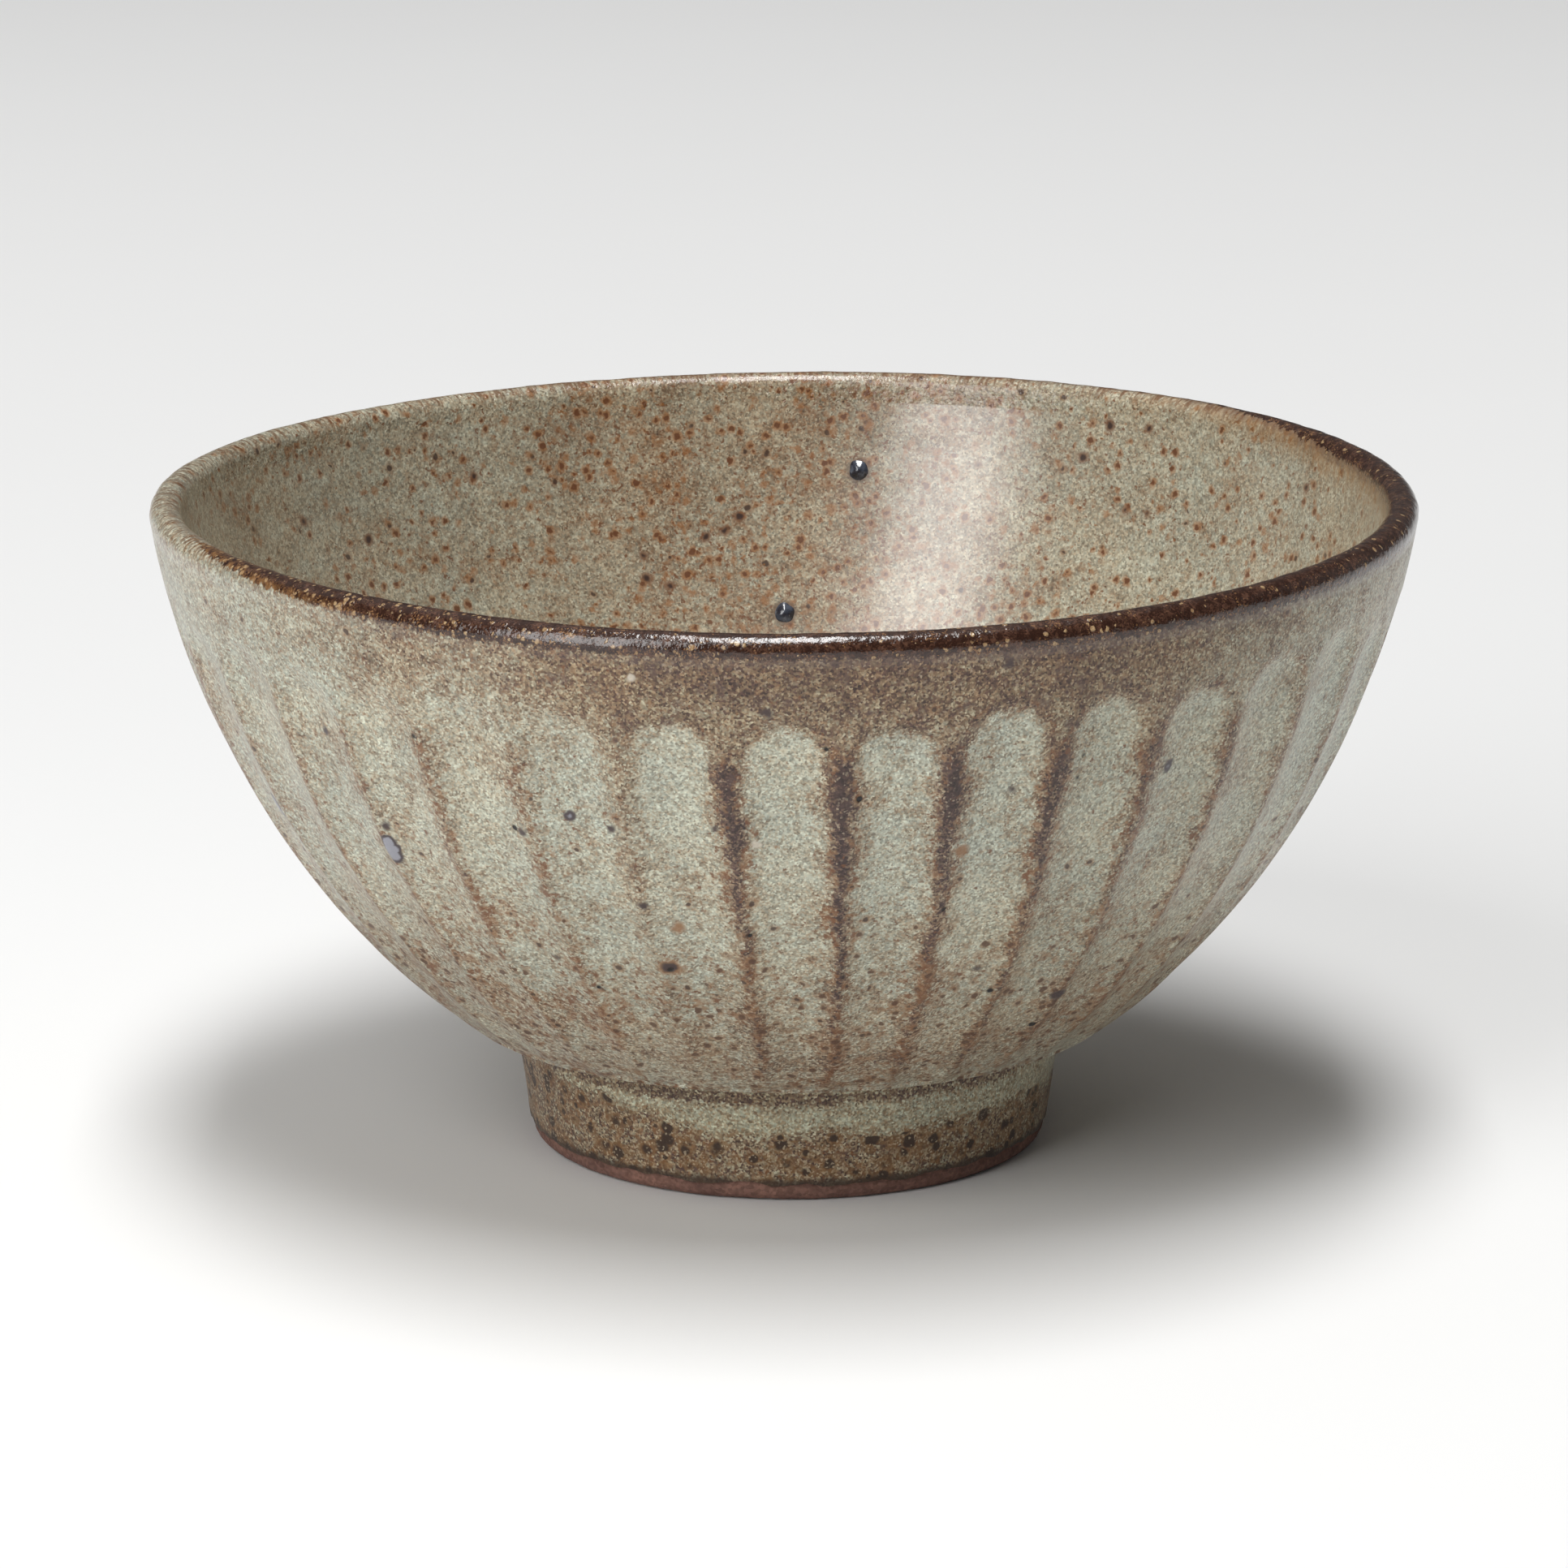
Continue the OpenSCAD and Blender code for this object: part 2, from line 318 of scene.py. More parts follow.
def ridge_marks(az, z, r):
    """Strength of the brown line along each ridge, where the glaze broke."""
    rng = random.Random(7)
    mark = np.zeros_like(az)
    for ridge in RIDGE_AZ:
        strength = rng.uniform(0.45, 0.95)
        phase = rng.uniform(0, 2 * math.pi)
        fade_z = rng.uniform(16, 30)
        for near, value in FRONT_RIDGES.items():
            if abs(wrap(ridge - near)) < 3:
                strength = value
                fade_z = 14 if near == 5 else 24
        wander = 0.2 * np.sin(z * 0.55 + phase) + 0.1 * np.sin(z * 1.7 + 2 * phase)
        x = r * np.radians(wrap(az - ridge - slant(z))) + wander
        uneven_w = 1 + 0.16 * np.sin(z * 0.9 + 3 * phase) + 0.12 * np.sin(z * 2.3 + phase)
        width = (0.55 + 0.45 * smooth(z, 26, 46)) * uneven_w
        profile = (0.45 + 0.55 * smooth(z, fade_z, 42)) * smooth(z, 12, 17)
        line = np.maximum(bell(x, width), 0.42 * bell(x, 1.9 * width))
        mark += strength * profile * line * (1 - smooth(z, 49.5, 53.0))
    return mark


def arch_marks(az, z, r):
    """A thin brown outline round the top of each flute."""
    rng = random.Random(11)
    mark = np.zeros_like(az)
    for centre, deep, top, phase in FLUTE_DRAWS:
        x = r * np.radians(wrap(az - centre - slant(z)))
        along = (z - top) * TOP_FLATNESS
        away = np.sqrt(x ** 2 + np.clip(along, 0, None) ** 2)
        edge = math.sqrt(2 * GOUGE_R * FLUTE_DEPTH * deep) - 0.1
        broken = 0.5 + 0.5 * np.sin(5 * phase + x * 1.1)
        shown = (1 - smooth(-np.sin(np.radians(az)), 0.1, 0.4)) * broken
        mark += rng.uniform(0.3, 0.75) * bell(away - edge, 0.4) * smooth(along, -1.5, 1.5) * shown
    return mark


# ---- marks of the firing

# How far inside the uncarved wall round marks and blisters are looked for
CARVED_IN, BLISTER_IN = 0.3, 0.15
# Azimuth, height, half length, half width and rise of the raised marks on the outside
BLISTERS = [
    (-42.8, 38.0, 1.7, 0.85, 0.28),
    (-66.1, 37.3, 1.5, 0.9, 0.22),
    (-20.2, 44.4, 0.65, 0.65, 0.12),
    (37.9, 47.1, 0.75, 0.5, 0.14),
    (-47.2, 48.7, 0.8, 0.5, 0.1),
    (151.0, 41.0, 1.2, 0.8, 0.22),
    (-128.0, 33.0, 1.4, 0.9, 0.24),
]


def wall_arc(z, inside):
    """Centre and radius of the section's arc at a height, on the inside or the outside."""
    upper, lower = (UP_C, UP_R), (LOW_C, LOW_R)
    if inside:
        upper, lower = (IN_C, IN_R), (IN_LOW_C, IN_LOW_R)
    return lower if z < on_arc(*upper, LEAN_MID)[1] else upper


def on_wall(az, z, inside=False, sunk=0.0):
    """The point of the uneven wall at an azimuth and height, or so far under its surface."""
    c, r = wall_arc(z, inside)
    return to_points(c[0] + math.sqrt(r * r - (c[1] - z) ** 2) - sunk, z, az)


def blister_relief(az, z, r):
    lift = np.zeros_like(az)
    for at, height, half_l, half_w, rise in BLISTERS:
        x = r * np.radians(wrap(az - at - slant(z) + float(slant(height)))) / half_w
        y = (z - height) / half_l
        lift += rise * np.exp(-(x * x + y * y) ** 1.5)
    return lift


def drift(z):
    """The foot sits a little to one side under the bowl."""
    return FOOT_DRIFT * (1 - smooth(z, 4, 50))


def tilt(az, z):
    """The rim isn't quite level: it tilts and waves a little."""
    az = np.asarray(az)
    waves = sum(high * np.cos(np.radians(n * (az - crest))) for n, high, crest in RIM_WAVES)
    return waves * smooth(z, 25, 60)


def uneven(points, size, octaves, seed):
    """Smooth noise from -1 to 1 at each point."""
    flat = points.reshape(-1, 3) / size + seed
    found = [noise.fractal(Vector(p), 0.7, 2.0, octaves) for p in flat]
    return np.array(found).reshape(points.shape[:-1])


# ---- meshes

def turned(rows):
    """Radius, height, azimuth and normal at each row and column."""
    z = np.repeat(rows[:, 1:2], len(BASE), 1)
    az = BASE[None, :] + slant(z)
    r = np.repeat(rows[:, 0:1], len(BASE), 1)
    return r, z, az, rows[:, 2:3], rows[:, 3:4]


def to_points(r, z, az):
    a = np.radians(az)
    return np.stack([r * np.sin(a) + drift(z), -r * np.cos(a), z + tilt(az, z)], -1)


def padded(values, shape):
    """A mark's values on the face's rows, and zero on the hidden ones."""
    full = np.zeros(shape)
    full[:len(values)] = values
    return full


def lathe(name, shape, loop, marks=None):
    """A closed mesh from rows that go round the axis. Rows on the axis become one vertex."""
    r, z, az = shape
    n, m = r.shape
    points = to_points(r, z, az)
    index = np.arange(n * m).reshape(n, m)
    on_axis = r.max(1) < 1e-6
    index[on_axis] = index[on_axis][:, :1]
    points[on_axis] = points[on_axis].mean(1, keepdims=True)
    rows = np.arange(n if loop else n - 1)
    a, b = index[rows], index[(rows + 1) % n]
    quads = np.stack([a, np.roll(a, -1, 1), np.roll(b, -1, 1), b], -1).reshape(-1, 4)
    used, faces = np.unique(quads, return_inverse=True)
    faces = faces.reshape(-1, 4)
    co = points.reshape(-1, 3)[used] * MM
    p = co[faces]
    volume = np.einsum("ij,ij->i", p[:, 0], np.cross(p[:, 1], p[:, 2])).sum()
    volume += np.einsum("ij,ij->i", p[:, 0], np.cross(p[:, 2], p[:, 3])).sum()
    if volume < 0:
        faces = faces[:, ::-1]
    polygons = [list(dict.fromkeys(f)) for f in faces.tolist()]
    values = {k: padded(v, r.shape).reshape(-1)[used] for k, v in (marks or {}).items()}
    return finish_mesh(name, co, [f for f in polygons if len(f) > 2], values)


def finish_mesh(name, co, polygons, values):
    mesh = bpy.data.meshes.new(name)
    mesh.from_pydata(co.tolist(), [], polygons)
    mesh.validate()
    mesh.polygons.foreach_set("use_smooth", [True] * len(mesh.polygons))
    mesh.set_sharp_from_angle(angle=math.radians(50))
    for key, value in values.items():
        layer = mesh.attributes.new(key, "FLOAT", "POINT")
        layer.data.foreach_set("value", value.astype(np.float32))
    mesh.update()
    obj = bpy.data.objects.new(name, mesh)
    bpy.context.scene.collection.objects.link(obj)
    return obj


def kept_rows(count, every):
    """Every so many rows, and the last one."""
    return sorted(set(range(0, count, every)) | {count - 1})


def coated(r, z, az, nr, nz, lift, every):
    """A coat's shape, from its lifted face and its hidden back, and the back alone, for the clay."""
    face = (r + nr * lift, z + nz * lift, az)
    keep = kept_rows(len(r), every)
    back = tuple(x[keep] for x in (face[0] - nr * GLAZE_T, face[1] - nz * GLAZE_T, az))
    return stacked(face, backwards(back)), back


def stacked(*parts):
    return tuple(np.vstack(group) for group in zip(*parts))


def backwards(part):
    return tuple(x[::-1] for x in part)


def dressed(obj, material, slot, *nodes):
    obj.data.materials.append(material)
    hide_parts(*nodes)
    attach(obj, BODY)


# Where the brown lip ends outside and inside at some azimuths, as distances over the lip from its crest
IRON_AZ = [-180, -74, -62, -55, -45, -30, -10, 92, 110, 124, 138, 180]
IRON_OUTER = [-0.8, -0.5, 0.9, 1.6, 2.3, 2.8, 2.9, 3.0, 2.7, 1.2, -0.4, -0.8]
IRON_INNER = [0.8, 0.6, -0.4, -1.0, -1.2, -1.4, -1.5, -2.2, -2.0, -0.9, 0.4, 0.8]


def over_lip(r, z):
    """Distance over the lip from its crest: outside is above 0, inside below."""
    dr, dz = r - LIP_C[0], z - LIP_C[1]
    angle = np.arctan2(dr, dz)
    below = np.clip(-dz, 0, None)
    turn = np.clip(angle, -math.pi / 2, math.pi / 2) * LIP_R
    return turn + np.sign(dr) * below


def iron_mark(r, z, az):
    """How far inside the brown lip each point is, in millimetres."""
    q = over_lip(r, z)
    outer, inner = (np.interp(wrap(az), IRON_AZ, ends) for ends in (IRON_OUTER, IRON_INNER))
    return np.minimum(outer - q, q - inner)


def make_wall(material):
    r, z, az, nr, nz = turned(wall_rows())
    depth, inside = carve(az, z, r)
    fade = np.where(nz < -0.8, smooth(-nz, 1.0, 0.8), 1.0)
    lift = blister_relief(az, z, r) - depth * fade
    lift += 0.03 * uneven(to_points(r, z, az), 5.0, 2, 3.0) * smooth(BAND_Z - z, 0, 2) * fade
    shape, back = coated(r, z, az, nr, nz, lift, every=5)
    marks = {
        "flute": inside,
        "ridge": ridge_marks(az, z, r) + arch_marks(az, z, r) * ARCH_SHARE,
        "iron": iron_mark(r, z, az),
    }
    dressed(lathe("glazed_wall", shape, True, marks), material, "ash_glaze_outside", "wall_glaze")
    return back


def make_lip(material):
    r, z, az, nr, nz = turned(lip_rows())
    points = to_points(r, z, az)
    middle = smooth(np.minimum(np.arange(len(r)), np.arange(len(r))[::-1])[:, None], 0, 8)
    lift = middle * (0.05 * uneven(points, 2.2, 2, 9.0) + 0.05 * uneven(points, 9.0, 1, 4.0))
    shape, back = coated(r, z, az, nr, nz, lift, every=3)
    marks = {"iron": iron_mark(r, z, az), "over": over_lip(r, z)}
    dressed(lathe("iron_lip", shape, True, marks), material, "iron_glaze", "rim_iron_band")
    return back


def make_inside(material):
    r, z, az, nr, nz = turned(inside_rows())
    points = to_points(r, z, az)
    rings = 0.018 * np.sin(z * 1.5 + np.radians(az)) * smooth(r, 6, 14)
    lift = (rings + 0.035 * uneven(points, 7.0, 2, 21.0)) * smooth(BAND_Z - z, 0, 2)
    lift[r < 1e-6] = 0
    shape, back = coated(r, z, az, nr, nz, lift, every=6)
    marks = {"iron": iron_mark(r, z, az)}
    dressed(lathe("glazed_inside", shape, False, marks), material, "ash_glaze_inside", "inner_glaze")
    return back


def make_foot_skin(material):
    r, z, az, nr, nz = turned(foot_skin_rows())
    points = to_points(r, z, az)
    pooled = 0.12 * bell(z - 8.8, 1.3)
    lift = (pooled + 0.05 * uneven(points, 4.0, 2, 31.0)) * smooth(SPLIT_R - r, 0, 1.5)
    ragged = 0.3 * uneven(points * np.array([1, 1, 0]), 3.0, 2, 5.0)
    z = z + ragged * (1 - smooth(z, BARE_Z, BARE_Z + 2.5))
    face = (r + nr * lift, z + nz * lift, az)
    keep = kept_rows(len(r), 4)
    thick = np.interp(z, [BARE_Z, HIP_Z], [FOOT_GLAZE_EDGE_T, GLAZE_T])
    back = tuple(x[keep] for x in (r - nr * thick, z - nz * thick, az))
    shape = stacked(face, backwards(back))
    dressed(lathe("foot_skin", shape, True), material, "ash_glaze_foot", "foot_glaze")
    return back


def make_foot(material):
    """The luted foot: its bare edge, its contact ring and the wall of the hollow."""
    bottom, _, along = foot_wall(GLAZE_T)
    lean = math.degrees(math.atan2(along[0], along[1]))
    outer_c = corner_centre(bottom, (-1, 0), along, FOOT_EDGE_R)
    slope = math.degrees(math.atan2(WELL_R - WELL_TOP_R, WELL_Z))
    inward = np.array([-math.sin(math.radians(slope)), math.cos(math.radians(slope))])
    inner_c = corner_centre(np.array([WELL_R, 0.0]), (1, 0), inward, WELL_EDGE_R)
    start = bottom + along * JOINT_Z / along[1]
    outer = arc_rows(outer_c, FOOT_EDGE_R, 90 - lean, 0, FOOT_EDGE_STEP)
    inner = arc_rows(inner_c, WELL_EDGE_R, 0, slope - 90, FOOT_EDGE_STEP)
    end = np.array([WELL_R, 0]) + inward * JOINT_Z / inward[1]
    rows = joined(
        turned_over(line_rows(start, outer[0, :2], FOOT_SIDE_STEP)),
        outer,
        turned_over(line_rows(outer[-1, :2], inner[0, :2], CONTACT_STEP)),
        inner,
        turned_over(line_rows(inner[-1, :2], end, HOLLOW_STEP)),
    )
    r, z, az, nr, nz = turned(rows)
    points = to_points(r, z, az)
    fine = 0.035 * uneven(points, 0.9, 3, 41.0) + 0.03 * uneven(points, 6.0, 2, 42.0)
    lift = (fine - 0.05) * smooth(JOINT_Z - z, 0, 1)
    foot = lathe("foot_clay", (r + nr * lift, np.clip(z + nz * lift, 0, None), az), True)
    dressed(foot, material, "stoneware_clay", "foot_ring")


# The hollow's ceiling: rows from its edge to the axis, and how far its middle stands down
WELL_ROWS = 60
WELL_CROWN = 0.35


def make_well(material):
    """The ceiling of the hollow under the foot, with the spiral that the turning tool left."""
    wide = np.linspace(WELL_TOP_R, 0, WELL_ROWS)
    flat = np.ones(WELL_ROWS)
    rows = np.stack([wide, WELL_Z * flat, 0 * flat, -flat], 1)
    r, z, az, nr, nz = turned(rows)
    spiral = 0.06 * np.sin(r * 2.1 + np.radians(az)) * smooth(r, 1.5, 4)
    fillet = 0.5 * bell(WELL_TOP_R - r, 0.8) * (r < WELL_TOP_R - 1e-6)
    crown = WELL_CROWN * bell(r, 3.5)
    lift = (spiral + fillet + crown) * smooth(WELL_TOP_R - r, 0, 0.4)
    lift[r < 1e-6] = WELL_CROWN
    face = (r, z - lift, az)
    keep = [0, 15, 30, 45, WELL_ROWS - 1]
    back = (r[keep], np.full_like(r[keep], JOINT_Z), az[keep])
    well = lathe("well_skin", stacked(face, backwards(back)), False)
    dressed(well, material, "ash_glaze_foot", "foot_well_glaze")


def make_body(material, wall, lip, inside, foot_skin):
    """The thrown clay, which lies face to face under all the coats."""
    upper = tuple(x[foot_skin[1].mean(1) > JOINT_Z] for x in foot_skin)
    joint = tuple(x[-1:].copy() for x in upper)
    joint[1][:] = JOINT_Z
    axis = tuple(x.copy() for x in joint)
    axis[0][:] = 0
    body = lathe(
        "thrown_body",
        stacked(axis, joint, backwards(upper), backwards(wall), lip, inside),
        False,
    )
    dressed(body, material, "stoneware_clay", "clay_body")


def outward_inside(az, z):
    """The inside surface's normal at an azimuth and height."""
    lean = math.radians(lean_at(*wall_arc(z, True), z))
    a = math.radians(az)
    return Vector((-math.sin(lean) * math.sin(a), math.sin(lean) * math.cos(a), math.cos(lean)))


# Azimuth, height, radius and rise of the beads of iron on the inside wall
BEADS = [(172.0, 53.4, 1.05, 0.5), (180.0, 39.6, 1.05, 0.45)]
BEAD_RINGS, BEAD_SPOKES = 12, 40
# How much wider than the bead its skirt is, and how deep it sinks in
BEAD_SKIRT, BEAD_SINK = 1.12, 0.12


def make_beads(material):
    """Beads of iron that melted out of the clay: low domes with a skirt that sinks into the glaze."""
    rng = random.Random(5)
    co, polygons = [], []
    for az, height, radius, rise in BEADS:
        out = outward_inside(az, height)
        across = Vector((math.cos(math.radians(az)), math.sin(math.radians(az)), 0))
        up = out.cross(across)
        centre = Vector(on_wall(az, height, True))
        phase = [rng.uniform(0, 2 * math.pi) for _ in range(4)]
        start = len(co)
        co.append(centre + out * rise)
        for i in range(1, BEAD_RINGS + 1):
            t = i / BEAD_RINGS
            for j in range(BEAD_SPOKES):
                a = 2 * math.pi * j / BEAD_SPOKES
                wobble = 1 + sum(0.03 * math.sin((n + 2) * a + phase[n]) for n in range(4))
                w = radius * BEAD_SKIRT * t * wobble
                h = rise * (math.cos(t * math.pi / 2) ** 0.9) - BEAD_SINK * t
                co.append(centre + across * (w * math.cos(a)) + up * (w * math.sin(a)) + out * h)
        grid = start + 1 + np.arange(BEAD_RINGS * BEAD_SPOKES).reshape(BEAD_RINGS, BEAD_SPOKES)
        right = np.roll(grid, -1, 1)
        polygons += [[start, a, b] for a, b in zip(grid[0].tolist(), right[0].tolist())]
        polygons += np.stack([grid[:-1], grid[1:], right[1:], right[:-1]], -1).reshape(-1, 4).tolist()
        polygons.append(grid[-1][::-1].tolist())
    co = np.array([list(p) for p in co]) * MM
    beads = finish_mesh("melted_iron_beads", co, polygons, {})
    dressed(beads, material, "melted_iron", "iron_spots")


# ---- material nodes

def srgb(r, g, b):
    """A colour given as 8-bit sRGB, in the renderer's linear values."""
    def one(v):
        v /= 255
        return v / 12.92 if v <= 0.04045 else ((v + 0.055) / 1.055) ** 2.4
    return (one(r), one(g), one(b), 1.0)


class Graph:
    """Short names for the nodes that the glazes are made of. Lengths are in millimetres."""

    def __init__(self, name):
        self.material = bpy.data.materials.new(name)
        self.material.use_nodes = True
        self.tree = self.material.node_tree
        self.shader = self.tree.nodes["Principled BSDF"].inputs
        self.place = self.vector("SCALE", self.node("TexCoord").outputs["Object"], scale=1 / MM)
        self.z = self.parts(self.place)[2]

    def put(self, socket, value):
        if isinstance(value, bpy.types.NodeSocket):
            self.tree.links.new(value, socket)
        else:
            socket.default_value = value

    def node(self, kind, *values, **settings):
        """A new node with its settings, and its first inputs set or linked."""
        n = self.tree.nodes.new("ShaderNode" + kind)
        for key, value in settings.items():
            setattr(n, key, value)
        for socket, value in zip(n.inputs, values):
            self.put(socket, value)
        return n

    def parts(self, vector):
        return self.node("SeparateXYZ", vector).outputs

    def vector(self, kind, a, b=None, scale=None):
        n = self.node("VectorMath", a, operation=kind)
        if b is not None:
            self.put(n.inputs[1], b)
        if scale is not None:
            self.put(n.inputs["Scale"], scale)
        return n.outputs["Value" if kind in ("DISTANCE", "LENGTH") else "Vector"]

    def math(self, kind, a, b=0.0):
        return self.node("Math", a, b, operation=kind).outputs[0]

    def chain(self, kind, total, *values):
        for v in values:
            total = self.math(kind, total, v)
        return total

    def add(self, *values):
        return self.chain("ADD", *values)

    def times(self, *values):
        return self.chain("MULTIPLY", *values)

    def ease(self, value, lo, hi, to_lo=0.0, to_hi=1.0):
        """A smooth step: to_lo where value is lo, to_hi where it is hi."""
        n = self.node("MapRange", value, lo, hi, to_lo, to_hi, interpolation_type="SMOOTHSTEP")
        return n.outputs[0]

    def around(self, value, amount):
        """A value from 0 to 1 moved to lie around 0 and scaled."""
        return self.times(self.math("SUBTRACT", value, 0.5), amount)

    def noise_outputs(self, size, detail, rough, at, seed):
        n = self.node("TexNoise", noise_dimensions="4D")
        values = {"Vector": at, "W": seed, "Scale": 1 / size, "Detail": detail, "Roughness": rough}
        for key, value in values.items():
            self.put(n.inputs[key], value)
        return n.outputs

    def noise(self, size, detail=2.0, rough=0.5, at=None, seed=0.0):
        """Noise from 0 to 1 whose features are about size millimetres."""
        return self.noise_outputs(size, detail, rough, self.place if at is None else at, seed)[0]

    def warped(self, size, amount, seed):
        """Every place moved by up to half the amount, which makes what is drawn there ragged."""
        moved = self.noise_outputs(size, 2.0, 0.5, self.place, seed)["Color"]
        centred = self.vector("SUBTRACT", moved, (0.5, 0.5, 0.5))
        return self.vector("ADD", self.place, self.vector("SCALE", centred, scale=amount))

    def cells(self, size, at):
        """Distance from the point in each cell of about size, and each cell's three random values."""
        n = self.node("TexVoronoi", feature="F1")
        self.put(n.inputs["Vector"], at)
        self.put(n.inputs["Scale"], 1 / size)
        return n.outputs["Distance"], self.node("SeparateColor", n.outputs["Color"]).outputs

    def grains(self, size):
        """Three random values from 0 to 1, each the same all over one grain."""
        return self.cells(size, self.place)[1]

    def dots(self, cell, smallest, largest, share, at):
        """Round dots, one at most in each cell, in a share of the cells, and a halo round each."""
        distance, pick = self.cells(cell, at)
        there = self.math("LESS_THAN", pick[0], share)
        radius = self.ease(pick[1], 0.0, 1.0, smallest, largest)
        away = self.math("DIVIDE", self.times(distance, cell), radius)
        return self.times(self.ease(away, 1.15, 0.7), there), self.times(self.ease(away, 2.4, 1.0), there)

    def mix(self, amount, a, b, kind="MIX"):
        n = self.node("Mix", amount, data_type="RGBA", blend_type=kind, clamp_factor=True)
        self.put(n.inputs[6], a)
        self.put(n.inputs[7], b)
        return n.outputs[2]

    def layers(self, colour, *covers):
        """A colour under some covers, each an amount and a colour. The last one is on top."""
        for amount, cover in covers:
            colour = self.mix(amount, colour, cover)
        return colour

    def ramp(self, value, stops):
        n = self.node("ValToRGB", value)
        while len(n.color_ramp.elements) < len(stops):
            n.color_ramp.elements.new(0.5)
        for element, (at, colour) in zip(n.color_ramp.elements, stops):
            element.position = at
            element.color = colour
        return n.outputs[0]

    def mark(self, name):
        return self.node("Attribute", attribute_name=name).outputs["Fac"]

    def sideways(self):
        """The sine of each point's azimuth: below 0 on the left, above 0 on the right."""
        return self.parts(self.outward())[0]

    def outward(self):
        return self.vector("NORMALIZE", self.vector("MULTIPLY", self.place, (1, 1, 0)))

    def nearest(self, places, at):
        """Distance from the edge of the nearest of some round places, below 0 inside."""
        return self.chain("MINIMUM", *[
            self.math("SUBTRACT", self.vector("DISTANCE", at, tuple(centre)), radius)
            for centre, radius in places
        ])

    def bump(self, height, distance, strength, under=None):
        n = self.node("Bump")
        n.inputs["Distance"].default_value = distance * MM
        n.inputs["Strength"].default_value = strength
        self.put(n.inputs["Height"], height)
        if under is not None:
            self.put(n.inputs["Normal"], under)
        return n.outputs[0]

    def finish(self, colour, roughness, normal=None, specular=0.5, coat=0.0, coat_roughness=0.12):
        self.put(self.shader["Base Color"], colour)
        self.put(self.shader["Roughness"], roughness)
        if normal is not None:
            self.put(self.shader["Normal"], normal)
        self.shader["Specular IOR Level"].default_value = specular
        self.shader["Coat Weight"].default_value = coat
        self.shader["Coat Roughness"].default_value = coat_roughness
        return self.material


# ---- the glazes' colours and marks

WHITE = (1, 1, 1, 1)
PALE, PALE_COOL = srgb(184, 185, 167), srgb(175, 179, 164)
TAN, GREY_BROWN = srgb(143, 122, 97), srgb(110, 88, 70)
DARK, DARKEST = srgb(88, 66, 59), srgb(62, 45, 42)
RUST, DEEP_RUST, BURNT = srgb(142, 104, 70), srgb(112, 72, 45), srgb(58, 40, 32)
BLACK, SPARKLE = srgb(20, 15, 13), srgb(196, 178, 152)
LOW_DOT, BLOTCH, HIP_SPOT = srgb(80, 52, 36), srgb(88, 68, 62), srgb(78, 56, 40)
DARK_SPOT, PALE_SPOT = srgb(66, 52, 50), srgb(205, 196, 180)
BLISTER_EDGE, BLISTER_TOP = srgb(70, 60, 62), srgb(146, 146, 154)
FLECK, FLECK_GLOW = srgb(98, 58, 32), srgb(152, 102, 56)
FRINGE, BEAD_STAIN, LIP_STAIN = srgb(146, 108, 66), srgb(96, 76, 60), srgb(88, 71, 64)
LIP_DARK, LIP_LIGHT, LIP_CREST = srgb(44, 23, 14), srgb(88, 60, 46), srgb(104, 70, 42)
LIP_SPECK, LIP_GILT = srgb(146, 108, 72), srgb(134, 96, 58)
CREAM_DARK, CREAM_LIGHT = srgb(134, 102, 68), srgb(188, 160, 120)
FOOT_DOT, FOOT_GLOW, WIPED_EDGE = srgb(48, 33, 27), srgb(124, 88, 52), srgb(52, 38, 30)
CLAY_DARK, CLAY, CLAY_LIGHT = srgb(94, 67, 60), srgb(120, 88, 77), srgb(142, 105, 91)
CLAY_RUST, CLAY_IRON = srgb(166, 92, 58), srgb(48, 34, 30)
BEAD_DARK, BEAD_BLUE = srgb(34, 32, 40), srgb(70, 76, 88)
# The floor's far colour is paler: painted light where less light reaches it.
FLOOR_NEAR, FLOOR_PAINTED_FAR = (0.80, 0.80, 0.795, 1), (0.93, 0.93, 0.925, 1)
# What the glaze is multiplied by: the land above the flutes, painted shade on the near right, the inside
# and the foot
LAND_TINT, RIGHT_PAINTED_SHADE = (0.9, 0.83, 0.735, 1), (0.91, 0.89, 0.86, 1)
INSIDE_TINT, FOOT_TINT = (0.94, 0.91, 0.88), (1.06, 1.07, 1.01)
# Sizes of the ash glaze's, the lip's and the clay's grains
ASH_GRAIN, LIP_GRAIN, CLAY_GRAIN = 0.2, 0.15, 0.3

# Azimuth, height and radius of pits, where bubbles burst, and of spots
PITS = [
    (-30.5, 52.4, 0.34), (-8.7, 48.4, 0.3), (6.8, 47.3, 0.3), (27.7, 47.6, 0.28),
    (27.9, 49.8, 0.3), (-26.2, 42.7, 0.28), (39.5, 52.6, 0.3), (25.4, 46.2, 0.25),
    (-3.7, 32.9, 0.22), (24.9, 25, 0.28), (35.1, 19.6, 0.34), (-24.5, 47.2, 0.26),
    (-34.8, 50.8, 0.3), (3.7, 52.5, 0.24), (-12.9, 28.5, 0.24), (5.4, 35.8, 0.2),
    (16.2, 35.2, 0.2), (-22.6, 25.6, 0.2), (96, 45, 0.3), (131, 50, 0.28),
    (-104, 47, 0.3), (170, 35, 0.28), (-150, 49, 0.3),
]
DARK_SPOTS = [
    (21.1, 47, 0.6), (-1.5, 56.1, 0.6), (36, 23.1, 0.8), (22.3, 27.5, 0.5),
    (-26.8, 28.4, 0.4), (19.2, 59.8, 0.6), (-25.3, 42.5, 0.5), (-6.4, 44.3, 0.35),
    (-14.4, 35.8, 0.5), (-16.2, 43.7, 0.4), (-42.4, 40.4, 0.45), (-13, 28.8, 0.7),
    (110, 38, 0.6), (-95, 30, 0.7), (144, 55, 0.6), (-165, 25, 0.7),
]
RUST_SPOTS = [(-11.2, 33.1, 0.85), (17, 41.3, 0.8), (-13, 28.8, 1.1), (100, 28, 0.9)]
